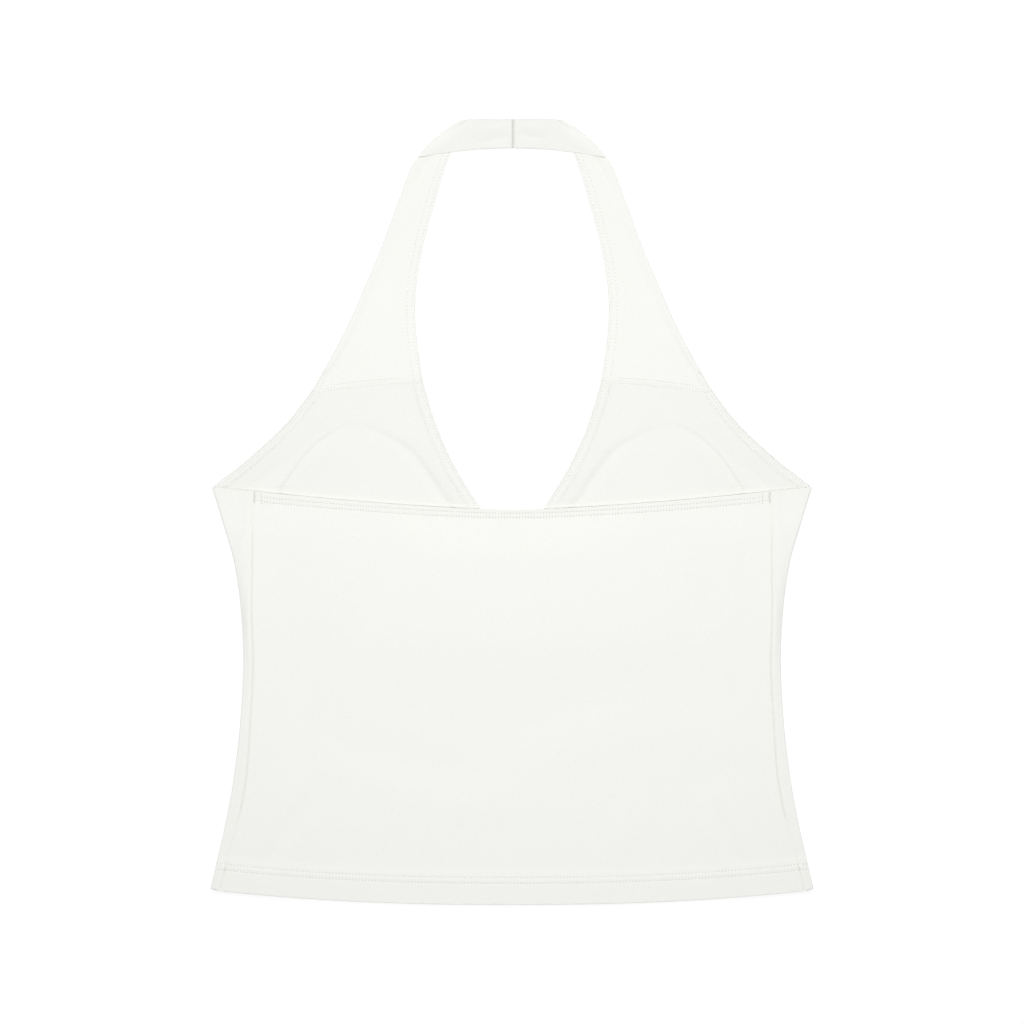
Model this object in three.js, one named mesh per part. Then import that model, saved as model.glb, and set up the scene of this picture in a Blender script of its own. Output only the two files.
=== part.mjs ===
// A halter neck top in thick white jersey, laid flat on its front with its back uppermost.
//
// The front is cut in two: a lower body and a bust shell that meet at an underbust seam. Both wrap
// round the sides, so that each side is a soft fold and the side seams lie a little way onto the back.
// Inside the bust shell lies a lining, padded at each cup. The back is one panel. The straps rise from
// the bust, fold over at the neck and meet at a seam in the middle of the neck band.
//
// Millimetres. +X is to the right as seen from above, +Y runs from the hem to the neck, and +Z is up.
// The origin is in the middle of the garment, on the surface that it lies on.
import * as THREE from "three";

// Driving dimensions.
const LENGTH = 535.6; // from the top of the neck band to the middle of the hem
const HALF_WIDTH = 204.4; // middle to side fold at the underarm
const CLOTH = 1.0; // one layer of jersey
const TURNED = 0.7; // what a turned edge adds once it is stitched flat
const GAP = 0.3; // between layers, and between pieces at a seam
const STRAP_THICKNESS = 2.2; // outer cloth and facing
const EDGE_ROUND = 1; // width of a strap's rounded edge
const EDGE_DROP = 0.6; // and how far it comes down

const HEM_Y = -LENGTH / 2;
const HEM_RISE = 10; // how much higher the hem is at the sides than in the middle
const HEM_CURVE = 2.3; // the power of the distance from the middle that it rises with
const HEM_DEPTH = 18;

const BACK_TOP_Y = 1.5;
const BACK_TOP_RISE = 12.6; // how much higher the back's top edge is at the side seams
const BACK_BAND = 6.5; // the turned and elasticated top edge of the back
const BACK_BAND_RAISED = 0.5;

const UNDERBUST_Y = -77.5;
const UNDERARM_Y = 17;
const NECK_POINT_Y = -19; // lowest point of the neckline, under the back panel
const EDGE_BAND = 5.8; // width of the stitched neckline and armhole edges
const EDGE_RAISED = 0.35;
const BAND_SLOPE = 2; // how far a turned or raised band takes to end
const LINING_INSET = 0.8; // the lining's edges lie this far inside the shell's

const STRAP_SEAM_BOW = 1.4; // the seam between bust and strap bows upwards by this much
const FOLD_BOW = 2.4; // the strap's fold at the neck bows outwards by this much

// Heights of the upper layer's underside above the surface it lies on.
const UPPER_REST = 1.5; // over the front alone
const UPPER_AT_SIDE = 2.6; // beside a side fold
const UPPER_OVER_LINING = 3.05;
const SETTLE = 70; // how far from a side seam the upper layer takes to settle
const LINING_STEP = { from: 26, to: 2 }; // how far below the underbust seam it rises over the lining

// A padded cup is egg shaped: half an ellipse above its widest level and a flatter half below it. Its
// rim slopes between two shares of its radius, and the back lies over it on a longer slope.
const CUP = { x: 103.5, y: -20, halfWidth: 58, above: 79.5, below: 44, raised: 4 };
const CUP_RIM = { from: 0.72, to: 1.08 };
const CUP_RIM_UNDER_BACK = { from: 0.86, to: 1.4, clear: 0.45 };

// Half widths of the body from the hem up: to the side fold, and to the seam that lies on the back.
const SIDE = [
  { y: -257, fold: 205.6, seam: 198.3 },
  { y: -236, fold: 200.7, seam: 193.6 },
  { y: -209, fold: 194.7, seam: 186.0 },
  { y: -182, fold: 189.8, seam: 180.9 },
  { y: -145, fold: 185.4, seam: 178.2 },
  { y: -105, fold: 183.2, seam: 176.2 },
  { y: -70, fold: 184.5, seam: 177.1 },
  { y: -35, fold: 189.2, seam: 176.8 },
  { y: -5, fold: 197.7, seam: 176.4 },
  { y: UNDERARM_Y, fold: HALF_WIDTH, seam: 175.0 },
];

// Half widths of the bust from the underarm up: to the neckline's edge and to the armhole's.
const NECKLINE = [
  { y: NECK_POINT_Y, half: 0 },
  { y: -16.5, half: 7.2 },
  { y: -12, half: 12.3 },
  { y: -5, half: 17.3 },
  { y: 3, half: 21.6 },
  { y: 17, half: 30.6 },
  { y: 36, half: 41.4 },
  { y: 60, half: 51.7 },
  { y: 90, half: 61.0 },
];
const ARMHOLE = [
  { y: UNDERARM_Y, half: HALF_WIDTH },
  { y: 22, half: 198.0 },
  { y: 36, half: 180.0 },
  { y: 60, half: 154.3 },
  { y: 82.5, half: 136.6 },
];

// The strap's fold at the neck, seen from above, at the strap's outer and inner edge.
const NECK_FOLD = { outerX: 63.9, outerY: 242.3, innerX: 33.2, innerY: LENGTH / 2 };
const NECK_HEIGHT = 2 * STRAP_THICKNESS + 2 * GAP;
const FOLD_WIDTH = Math.hypot(
  NECK_FOLD.innerX - NECK_FOLD.outerX,
  NECK_FOLD.innerY - NECK_FOLD.outerY,
);
// The level direction that the fold faces, and where its round starts behind it.
const FACING = {
  x: (NECK_FOLD.innerY - NECK_FOLD.outerY) / FOLD_WIDTH,
  y: (NECK_FOLD.outerX - NECK_FOLD.innerX) / FOLD_WIDTH,
};
const FOLD_STARTS = {
  outerX: NECK_FOLD.outerX - (FACING.x * NECK_HEIGHT) / 2,
  outerY: NECK_FOLD.outerY - (FACING.y * NECK_HEIGHT) / 2,
  innerX: NECK_FOLD.innerX - (FACING.x * NECK_HEIGHT) / 2,
  innerY: NECK_FOLD.innerY - (FACING.y * NECK_HEIGHT) / 2,
};

// A strap's sections from the bust seam to its fold at the neck: its outer and inner edge.
const STRAP = [
  { row: 0, outerX: 136.4, outerY: 82.8, innerX: 61.1, innerY: 90.2 },
  { row: 1, outerX: 115.3, outerY: 120, innerX: 65.2, innerY: 122 },
  { row: 2, outerX: 101.9, outerY: 150, innerX: 65.6, innerY: 150 },
  { row: 3, outerX: 89.3, outerY: 180, innerX: 60.6, innerY: 181 },
  { row: 4, outerX: 78.2, outerY: 210, innerX: 53.0, innerY: 210 },
  { row: 5, outerX: 70.4, outerY: 231, innerX: 45.2, innerY: 236 },
  { row: 6, outerX: 66.8, outerY: 238.4, innerX: 38.4, innerY: 253 },
  { row: 7, ...FOLD_STARTS },
];
// The neck band's sections from the fold to the middle seam: its lower and upper edge.
const BAND = [
  { row: 0, ...FOLD_STARTS },
  { row: 1, outerX: 43, outerY: 245.0, innerX: 24, innerY: LENGTH / 2 },
  { row: 2, outerX: 21, outerY: 247.3, innerX: 13, innerY: LENGTH / 2 },
  { row: 3, outerX: GAP / 2, outerY: 248.0, innerX: GAP / 2, innerY: LENGTH / 2 },
];
const BAND_DROP = { from: 2, to: 18 }; // how far past the strap the band takes to come down

const mix = (a, b, t) => a + (b - a) * t;
const clamp = (t) => Math.min(Math.max(t, 0), 1);
const smooth = (from, to, at) => {
  const t = clamp((at - from) / (to - from));
  return t * t * (3 - 2 * t);
};

// The smooth curve through one column of a table, read at a value of another column.
function curve(table, column, at, by = "y") {
  const last = table.length - 1;
  let i = 0;
  while (i < last - 1 && at > table[i + 1][by]) i++;
  const slope = (k) => {
    const before = table[Math.max(k - 1, 0)];
    const after = table[Math.min(k + 1, last)];
    return (after[column] - before[column]) / (after[by] - before[by]);
  };
  const [a, b] = [table[i], table[i + 1]];
  const span = b[by] - a[by];
  const t = clamp((at - a[by]) / span);
  return (
    a[column] * (2 * t ** 3 - 3 * t ** 2 + 1) +
    b[column] * (3 * t ** 2 - 2 * t ** 3) +
    slope(i) * span * (t ** 3 - 2 * t ** 2 + t) +
    slope(i + 1) * span * (t ** 3 - t ** 2)
  );
}

// Outlines, for the half of the garment at +X.
const sideFold = (y) => curve(SIDE, "fold", y);
const sideSeam = (y) => curve(SIDE, "seam", y);
const neckline = (y) => (y <= NECK_POINT_Y ? 0 : curve(NECKLINE, "half", y));
const hemLine = (x) => HEM_Y + HEM_RISE * (x / HALF_WIDTH) ** HEM_CURVE;
const backTop = (x) => BACK_TOP_Y + BACK_TOP_RISE * (x / sideSeam(UNDERARM_Y)) ** 1.5;

// Heights and thicknesses.
const bandOf = (depth, at) => 1 - smooth(depth - BAND_SLOPE / 2, depth + BAND_SLOPE / 2, at);
const hemTurned = (x, y) => bandOf(HEM_DEPTH, y - hemLine(x));
const wall = (x, y) => CLOTH + TURNED * hemTurned(x, y);

// 1 on the cup pad's outline, 0 in its middle.
function cupRadius(x, y) {
  const tall = y > CUP.y ? CUP.above : CUP.below;
  return Math.hypot((x - CUP.x) / CUP.halfWidth, (y - CUP.y) / tall);
}
const cupRaised = (x, y) => CUP.raised * (1 - smooth(CUP_RIM.from, CUP_RIM.to, cupRadius(x, y)));
function cupUnderBack(x, y) {
  const { from, to, clear } = CUP_RIM_UNDER_BACK;
  return (CUP.raised + clear) * (1 - smooth(from, to, cupRadius(x, y)));
}

// 1 on the back's turned top edge, 0 below it.
const topBand = (x, y) => bandOf(BACK_BAND, backTop(x) - y);

// The underside of the upper layer: the back panel and the wrapped sides.
function upperLayer(x, y) {
  const beside = smooth(sideSeam(y) - SETTLE, sideSeam(y), x);
  const lining = smooth(UNDERBUST_Y - LINING_STEP.from, UNDERBUST_Y - LINING_STEP.to, y);
  const atSide = (UPPER_AT_SIDE - UPPER_REST) * beside;
  const overLining = (UPPER_OVER_LINING - UPPER_REST) * lining;
  const rest = UPPER_REST + atSide * (1 - lining) + overLining;
  return rest + cupUnderBack(x, y) + TURNED * hemTurned(x, y);
}

// A wall of cloth as one closed solid. Each patch is a grid of points, and each point has a place on
// the garment's outside and one on its inside. Patches join where their points agree.
function cloth(name, patches, material) {
  const outside = [];
  const inside = [];
  const known = new Map();
  const idOf = (point) => {
    const key = [...point.outer, ...point.inner].map((v) => v.toFixed(3)).join();
    if (!known.has(key)) {
      known.set(key, outside.length);
      outside.push(point.outer);
      inside.push(point.inner);
    }
    return known.get(key);
  };

  const faces = [];
  for (const { rows, turned } of patches) {
    const ids = rows.map((row) => row.map(idOf));
    for (let r = 0; r + 1 < ids.length; r++) {
      for (let c = 0; c + 1 < ids[r].length; c++) {
        const [a, b, d, e] = [ids[r][c], ids[r][c + 1], ids[r + 1][c + 1], ids[r + 1][c]];
        for (const face of [[a, b, d], [a, d, e]]) {
          if (new Set(face).size === 3) faces.push(turned ? face.reverse() : face);
        }
      }
    }
  }

  const edges = new Set();
  const edgesOf = ([a, b, c]) => [[a, b], [b, c], [c, a]];
  for (const face of faces) for (const edge of edgesOf(face)) edges.add(edge.join());

  const count = outside.length;
  const triangles = [];
  for (const face of faces) {
    const [a, b, c] = face;
    triangles.push([a, b, c], [c + count, b + count, a + count]);
    for (const [p, q] of edgesOf(face)) {
      if (edges.has([q, p].join())) continue;
      triangles.push([q, p, p + count], [q, p + count, q + count]);
    }
  }
  return solid(name, [...inside, ...outside], triangles, material);
}

// A named mesh from points and triangles, with its faces turned outwards.
function solid(name, points, triangles, material) {
  let volume = 0;
  for (const [a, b, c] of triangles) {
    const [p, q, r] = [a, b, c].map((i) => new THREE.Vector3(...points[i]));
    volume += p.dot(q.cross(r)) / 6;
  }
  const facing = volume > 0 ? triangles : triangles.map(([a, b, c]) => [a, c, b]);
  const geometry = new THREE.BufferGeometry();
  geometry.setAttribute("position", new THREE.Float32BufferAttribute(points.flat(), 3));
  geometry.setIndex(facing.flat());
  geometry.computeVertexNormals();
  const mesh = new THREE.Mesh(geometry, material);
  mesh.name = name;
  return mesh;
}

// A patch for the half at +X, or for the half at -X.
const flip = ([x, y, z]) => [-x, y, z];
function patch(rows, side) {
  if (side > 0) return { rows, turned: false };
  const flipped = rows.map((row) =>
    row.map(({ outer, inner }) => ({ outer: flip(outer), inner: flip(inner) })),
  );
  return { rows: flipped, turned: true };
}
const bothHalves = (rows) => [patch(rows, 1), patch(rows, -1)];

const steps = (count) => Array.from({ length: count + 1 }, (_, i) => i / count);

// The points of a wall that lies on the surface, whose outside faces down.
const lying = (x, y) => ({ outer: [x, y, 0], inner: [x, y, wall(x, y)] });

// Rows of the body, as heights above the hem, and of the bust, as places along the side fold. A row runs
// on over the back panel, so that the two edges at a side seam bend at the same points.
const BODY_TALL = UNDERBUST_Y - GAP / 2 - HEM_Y;
const BODY_ROWS = [0, 17, 19.5, 33, 48, 64, 85, 106, 127, 148, 168, BODY_TALL];
const BUST_FROM = UNDERBUST_Y + GAP / 2;
const BUST_ROWS = [BUST_FROM, -62, -46, -32, NECK_POINT_Y, -16.5, -12, -5, 3, 8.5, 10.8, UNDERARM_Y];
const bodyShares = BODY_ROWS.map((up) => up / BODY_TALL);
const bustShares = BUST_ROWS.map((y) => (y - BUST_FROM) / (UNDERARM_Y - BUST_FROM));

// The height of a row, at a share of the way up, at a place across.
const bodyY = (x, share) => mix(hemLine(x), HEM_Y + BODY_TALL, share);
const bustY = (x, share) => mix(BUST_FROM, backTop(x), share);

// Where a row meets the side seam.
function seamPoint(yAt, share) {
  let y = yAt(sideSeam(0), share);
  for (let i = 0; i < 4; i++) y = yAt(sideSeam(y), share);
  return { x: sideSeam(y), y };
}

// One row of a wrapped side: the end of the lower layer, the fold, and the strip up to the seam.
const FOLD_STEPS = 6;
const STRIP_STEPS = 2;
function wrappedRow(y, seam) {
  const half = sideFold(y);
  const thick = wall(half, y);
  const radius = (upperLayer(half, y) + thick) / 2;
  const middle = half - radius;
  const around = (r, angle) => [middle + r * Math.sin(angle), y, radius - r * Math.cos(angle)];
  const fold = steps(FOLD_STEPS).map((t) => ({
    outer: around(radius, t * Math.PI),
    inner: around(radius - thick, t * Math.PI),
  }));
  const strip = steps(STRIP_STEPS).slice(1).map((t) => {
    const place = [mix(middle, seam.x + GAP / 2, t), mix(y, seam.y, t)];
    const under = upperLayer(...place);
    const banded = BACK_BAND_RAISED * t * topBand(...place);
    return { outer: [...place, under + wall(...place) + banded], inner: [...place, under] };
  });
  return [...fold, ...strip];
}
const bodyWrapped = () =>
  bodyShares.map((share) => wrappedRow(bodyY(HALF_WIDTH, share), seamPoint(bodyY, share)));
const bustWrapped = () => BUST_ROWS.map((y, r) => wrappedRow(y, seamPoint(bustY, bustShares[r])));

// The lower front, from the hem to the underbust seam.
const LOWER_STEPS = 4;
function frontBody(material) {
  const wrapped = bodyWrapped();
  const lower = bodyShares.map((share, r) => {
    const end = wrapped[r][0];
    const flat = steps(LOWER_STEPS).slice(0, -1).map((t) => {
      const x = t * end.outer[0];
      return lying(x, bodyY(x, share));
    });
    return [...flat, end];
  });
  return cloth("front_body", [...bothHalves(lower), ...bothHalves(wrapped)], material);
}

// Rows of the bust above the underarm, from the neckline's height to the armhole's, and how much of
// the strap seam's bow each has.
const FREE_BUST_ROWS = [
  { inner: 26, outer: 26, bow: 0 },
  { inner: 36, outer: 36, bow: 0 },
  { inner: 48, outer: 47, bow: 0 },
  { inner: 60, outer: 58, bow: 0.2 },
  { inner: 71, outer: 67.5, bow: 0.5 },
  { inner: 80.5, outer: 75.2, bow: 0.8 },
  { inner: 89.85, outer: 82.45, bow: 1 },
];

// A point of the bust between the neckline, at 0, and the armhole, at 1.
function bustPlace({ inner, outer, bow }, from, to, t) {
  const x = mix(from, to, t);
  const y = mix(inner, outer, t) + bow * STRAP_SEAM_BOW * 4 * t * (1 - t);
  return [x, y];
}

const SHELL_STEPS = 5;
function frontBust(material) {
  const wrapped = bustWrapped();
  const lower = BUST_ROWS.map((y, r) => {
    const end = wrapped[r][0];
    const from = neckline(y);
    const flat = steps(SHELL_STEPS).slice(0, -1).map((t) => lying(mix(from, end.outer[0], t), y));
    return [...flat, end];
  });
  const upper = FREE_BUST_ROWS.map((row) =>
    steps(SHELL_STEPS).map((t) => {
      const armhole = curve(ARMHOLE, "half", row.outer);
      return lying(...bustPlace(row, neckline(row.inner), armhole, t));
    }),
  );
  const patches = [...bothHalves([...lower, ...upper]), ...bothHalves(wrapped)];
  return cloth("front_bust", patches, material);
}

// The lining lies on the bust shell. Its free edges are turned and stitched, and its cups are raised
// over a plain inside.
const LINING_STEPS = 10;
function bustLining(material) {
  const inside = CLOTH + GAP;
  const rowOf = (row, from, to, free) => {
    const width = to - from;
    const near = [0, EDGE_BAND / width, (EDGE_BAND + BAND_SLOPE) / width];
    const between = steps(LINING_STEPS).slice(1, -1).map((t) => mix(near[2], 1 - near[2], t));
    const places = [...near, ...between, ...near.map((t) => 1 - t).reverse()];
    return places.map((t) => {
      const [x, y] = bustPlace(row, from, to, t);
      const toNeckline = free.neckline ? t * width : width;
      const toArmhole = free.armhole ? (1 - t) * width : width;
      const edge = Math.min(toNeckline, toArmhole);
      const turned = EDGE_RAISED * (1 - smooth(EDGE_BAND, EDGE_BAND + BAND_SLOPE, edge));
      const top = inside + CLOTH + turned + cupRaised(x, y);
      return { outer: [x, y, inside], inner: [x, y, top] };
    });
  };
  const wrapped = bustWrapped();
  const covered = BUST_ROWS.map((y, r) => {
    const open = y > NECK_POINT_Y;
    const from = open ? neckline(y) + LINING_INSET : 0;
    const to = wrapped[r][0].outer[0] - GAP;
    return rowOf({ inner: y, outer: y, bow: 0 }, from, to, { neckline: open, armhole: false });
  });
  const shown = FREE_BUST_ROWS.map((row) => {
    const from = neckline(row.inner) + LINING_INSET;
    const to = curve(ARMHOLE, "half", row.outer) - LINING_INSET;
    return rowOf(row, from, to, { neckline: true, armhole: true });
  });
  return cloth("bust_lining", bothHalves([...covered, ...shown]), material);
}

// The back panel, from the hem to its elasticated top edge, between the side seams.
const BACK_STEPS = 12;
function backBody(material) {
  const rowOf = (yAt, share) => {
    const seam = seamPoint(yAt, share);
    return steps(BACK_STEPS).map((t) => {
      const x = t * (seam.x - GAP / 2);
      const y = t === 1 ? seam.y : yAt(x, share);
      const under = upperLayer(x, y);
      const top = under + wall(x, y) + BACK_BAND_RAISED * topBand(x, y);
      return { outer: [x, y, top], inner: [x, y, under] };
    });
  };
  const rows = [
    ...bodyShares.map((share) => rowOf(bodyY, share)),
    ...bustShares.slice(1).map((share) => rowOf(bustY, share)),
  ];
  return cloth("back_body", bothHalves(rows), material);
}

// A strap with its half of the neck band: along the surface, over the fold and back to the middle.
const STRAP_STEPS = 15;
const SEAM_BOW_ENDS = 0.16; // shares of the strap's length
const NEARS_FOLD = 0.8;
const NECK_FOLD_STEPS = 6;
const BAND_STEPS = 8;
const BAND_BULGE_ENDS = 0.3; // a share of the band's length
function strap(name, side, material) {
  const radius = NECK_HEIGHT / 2;

  // Shares of a section's width: rounded edges, and the stitched band along the neckline.
  const shares = (width) => {
    const [round, band, slope] = [EDGE_ROUND, EDGE_BAND, EDGE_BAND + BAND_SLOPE].map((d) => d / width);
    return [0, round, 0.3, 0.55, 1 - slope, 1 - band, 1 - round, 1];
  };
  const rounded = (t, width) => EDGE_DROP * (1 - smooth(0, EDGE_ROUND, Math.min(t, 1 - t) * width));
  const raised = (t, width) => {
    const fromInner = (1 - t) * width;
    return EDGE_RAISED * (1 - smooth(EDGE_BAND, EDGE_BAND + BAND_SLOPE, fromInner));
  };
  const bowed = (t) => 4 * t * (1 - t);

  const placesOf = (table, at) => {
    const read = (column) => curve(table, column, at, "row");
    const [ox, oy] = [read("outerX"), read("outerY")];
    const [ix, iy] = [read("innerX"), read("innerY")];
    const width = Math.hypot(ix - ox, iy - oy);
    return shares(width).map((t) => ({ t, width, x: mix(ox, ix, t), y: mix(oy, iy, t) }));
  };

  const lower = steps(STRAP_STEPS).map((s) =>
    placesOf(STRAP, s * (STRAP.length - 1)).map(({ t, width, x, y }) => {
      const atFold = smooth(NEARS_FOLD, 1, s);
      const bow = STRAP_SEAM_BOW * bowed(t) * (1 - smooth(0, SEAM_BOW_ENDS, s));
      const bulge = FOLD_BOW * bowed(t) * atFold;
      const place = [x + FACING.x * bulge, y + bow + FACING.y * bulge];
      const top = STRAP_THICKNESS + raised(t, width) * (1 - atFold) - rounded(t, width);
      return { outer: [...place, 0], inner: [...place, top] };
    }),
  );

  const fold = steps(NECK_FOLD_STEPS).slice(1, -1).map((f) =>
    shares(FOLD_WIDTH).map((t) => {
      const angle = f * Math.PI;
      const bulge = FOLD_BOW * bowed(t);
      const at = (r) => {
        const out = bulge - radius + r * Math.sin(angle);
        return [
          mix(NECK_FOLD.outerX, NECK_FOLD.innerX, t) + FACING.x * out,
          mix(NECK_FOLD.outerY, NECK_FOLD.innerY, t) + FACING.y * out,
          radius - r * Math.cos(angle),
        ];
      };
      const soft = rounded(t, FOLD_WIDTH) / 2;
      return { outer: at(radius - soft * f), inner: at(radius - STRAP_THICKNESS + soft * (1 - f)) };
    }),
  );

  // The band comes down to the surface past the strap's inner edge.
  const edgeFrom = new THREE.Vector2(STRAP[5].innerX, STRAP[5].innerY);
  const edgeTo = new THREE.Vector2(NECK_FOLD.innerX, NECK_FOLD.innerY);
  const alongEdge = edgeTo.clone().sub(edgeFrom).normalize();
  const band = steps(BAND_STEPS).map((s) =>
    placesOf(BAND, s * (BAND.length - 1)).map(({ t, width, x, y }) => {
      const bulge = FOLD_BOW * bowed(t) * (1 - smooth(0, BAND_BULGE_ENDS, s));
      const place = new THREE.Vector2(x + FACING.x * bulge, y + FACING.y * bulge);
      const past = alongEdge.cross(place.clone().sub(edgeFrom));
      const up = (NECK_HEIGHT - STRAP_THICKNESS) * (1 - smooth(BAND_DROP.from, BAND_DROP.to, past));
      const top = up + STRAP_THICKNESS - rounded(t, width);
      return { outer: [place.x, place.y, top], inner: [place.x, place.y, up] };
    }),
  );
  return cloth(name, [patch([...lower, ...fold, ...band], side)], material);
}

const jersey = new THREE.MeshStandardMaterial({ color: 0xf4f5f0, roughness: 0.9, metalness: 0 });
const liningJersey = new THREE.MeshStandardMaterial({ color: 0xf6f7f2, roughness: 0.92, metalness: 0 });

const top = new THREE.Group();
top.add(
  frontBody(jersey),
  frontBust(jersey),
  bustLining(liningJersey),
  strap("strap_left", -1, jersey),
  strap("strap_right", 1, jersey),
  backBody(jersey),
);

export default top;
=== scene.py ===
"""A white halter neck top, laid flat on its front with its back uppermost.

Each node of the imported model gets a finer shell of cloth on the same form, with its turned edges, seams,
creases and sewing. Lengths are millimetres until a mesh is made. X is to the right as seen from above,
Y runs from the hem to the neck, and Z is up from the surface that the garment lies on. A pair of values
under a name such as fade is where a change starts and where it ends.
"""
import math
from types import SimpleNamespace as Sizes

import bpy
import numpy as np
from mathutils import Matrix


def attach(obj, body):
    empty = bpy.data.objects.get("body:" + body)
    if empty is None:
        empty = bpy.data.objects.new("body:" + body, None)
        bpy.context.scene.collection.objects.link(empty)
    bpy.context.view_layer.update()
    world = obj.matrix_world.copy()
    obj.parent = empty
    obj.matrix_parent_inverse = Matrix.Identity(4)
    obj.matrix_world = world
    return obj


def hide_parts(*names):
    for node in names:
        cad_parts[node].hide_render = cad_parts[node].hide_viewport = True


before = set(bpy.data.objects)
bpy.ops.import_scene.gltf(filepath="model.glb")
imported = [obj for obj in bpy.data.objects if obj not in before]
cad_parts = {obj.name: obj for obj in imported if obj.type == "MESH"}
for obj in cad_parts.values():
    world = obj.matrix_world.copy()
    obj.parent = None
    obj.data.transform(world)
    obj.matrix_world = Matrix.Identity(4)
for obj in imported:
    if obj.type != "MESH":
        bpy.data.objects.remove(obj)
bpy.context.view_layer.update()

MM = 0.001
SIDES = (1, -1)
RNG = np.random.default_rng(7)


def columns(names, rows):
    """A table whose columns are read by name."""
    return dict(zip(names.split(), np.array(rows, float).T))


def unit(vectors):
    return vectors / np.linalg.norm(vectors, axis=-1, keepdims=True)


# The garment's sizes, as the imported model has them.
HALF_LENGTH = 267.8
HALF_WIDTH = 204.4
CLOTH = 1.0
GAP = 0.3
SEAM_GAP = 0.02
HEM_RISE = 10.0
HEM_CURVE = 2.3
BACK_TOP_Y = 1.5
BACK_TOP_RISE = 12.6
BACK_TOP_CURVE = 1.5
SIDE_TOP = BACK_TOP_Y + BACK_TOP_RISE
UNDERBUST_Y = -77.5
UNDERARM_Y = 17.0
NECK_POINT_Y = -19.0
LINING_INSET = 0.8
LINING_LIFT = 0.5
LINING_UNDER = 1.1
LINING_LEAST = 0.2
STRAP_THICKNESS = 1.15
STRAP_AT_SEAM = 2 * CLOTH + GAP + LINING_LIFT
STRAP_SEAM_BOW = 1.4
FOLD_BOW = 2.4
UPPER_REST = 1.5
UPPER_AT_SIDE = 2.6
UPPER_OVER_LINING = 3.05
SETTLE = 70.0
LINING_STEP = (58.0, 2.0)

SIDE = columns("y fold seam", [
    (-257, 205.6, 199.0), (-236, 200.7, 194.4), (-209, 194.7, 186.8), (-182, 189.8, 181.8),
    (-145, 185.4, 179.1), (-105, 183.2, 177.1), (-70, 184.5, 178.0), (-35, 189.2, 177.7),
    (-5, 197.7, 177.3), (UNDERARM_Y, HALF_WIDTH, 175.9),
])
NECKLINE = columns("y half", [
    (NECK_POINT_Y, 0), (-16.5, 7.2), (-12, 12.3), (-5, 17.3), (3, 21.6), (17, 30.6), (36, 41.4),
    (60, 51.7), (90, 61.0),
])
ARMHOLE = columns("y half", [
    (UNDERARM_Y, HALF_WIDTH), (22, 198.0), (36, 180.0), (60, 154.3), (82.5, 136.6),
])

# The strap's fold at the neck, and the strap's and band's sections, each with two edges.
NECK_HEIGHT = 2 * STRAP_THICKNESS + 0.1
FOLD_REACH = 0.55
FOLD_OUTER = np.array([63.9, 242.3])
FOLD_INNER = np.array([33.2, HALF_LENGTH])
FOLD_ALONG = unit(FOLD_INNER - FOLD_OUTER)
FACING = np.array([FOLD_ALONG[1], -FOLD_ALONG[0]])
FOLD_BACK = FACING * FOLD_REACH * NECK_HEIGHT / 2
FOLD_STARTS = (*(FOLD_OUTER - FOLD_BACK), *(FOLD_INNER - FOLD_BACK))
STRAP = columns("row outer_x outer_y inner_x inner_y", [
    (0, 136.4, 82.66, 61.1, 90.06),
    (1, 115.3, 120, 65.2, 122),
    (2, 101.9, 150, 65.6, 150),
    (3, 89.3, 180, 60.6, 181),
    (4, 78.2, 210, 53.0, 210),
    (5, 70.4, 231, 45.2, 236),
    (6, 66.8, 238.4, 38.4, 253),
    (7, *FOLD_STARTS),
])
BAND = columns("row outer_x outer_y inner_x inner_y", [
    (0, *FOLD_STARTS),
    (1, 43, 245.0, 24, HALF_LENGTH),
    (2, 21, 247.3, 13, HALF_LENGTH),
    (3, SEAM_GAP / 2, 248.0, SEAM_GAP / 2, HALF_LENGTH),
])
BAND_LOW_Y = BAND["outer_y"][-1]
BAND_DROP = (2.0, 28.0)
BAND_TILT = 0.24
NECK_SEAM = Sizes(
    lap=0.4, lap_width=2.5, valley=0.95, valley_end=(0.9, 2.9), waves=((0.15, 0.9), (0.08, 2.3)),
    square=0.45, round_fade=(1.5, 4.0),
)
STRAP_FACE = Sizes(
    relief_ends=(238.0, 246.0), neck_edge=(90.0, 125.0), thins=(90.0, 185.0),
    roll=(1.5, 0.6), roll_eases=(110.0, 190.0), roll_width=8.0, edge_lower=0.45, edge_half_width=1.6,
)

# A padded cup: half an ellipse above its widest level and a flatter half below it.
CUP = Sizes(x=103.5, y=-20.0, half_width=58.0, above=79.5, below=44.0, dome=1.9)
CUP_DOME = (0.25, 1.0)
CUP_TROUGH = Sizes(inside=4.2, swell=0.15, swell_at=8.0, swell_width=4.0)
CUP_RIM = columns("angle radius trough outside", [
    (-180, 1.03, 0.20, 2.0), (-90, 1.00, 0.20, 2.0), (0, 1.01, 0.70, 1.7),
    (24, 1.006, 1.30, 1.45), (36, 0.981, 1.35, 1.40), (46, 0.972, 1.22, 1.50),
    (62, 0.971, 0.90, 1.60), (78, 0.985, 0.45, 1.80), (87, 0.988, 0.26, 2.0),
    (99, 0.961, 0.34, 2.0), (114, 0.950, 0.55, 2.0), (125, 0.966, 0.80, 2.2),
    (137, 0.968, 1.00, 2.4), (144, 0.978, 1.10, 2.5), (150, 0.999, 1.15, 2.5),
    (156, 1.019, 1.10, 2.6), (160, 1.047, 1.00, 2.8), (165, 1.095, 0.95, 3.0),
    (172, 1.14, 0.80, 3.0), (180, 1.16, 0.60, 3.0),
])

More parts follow.
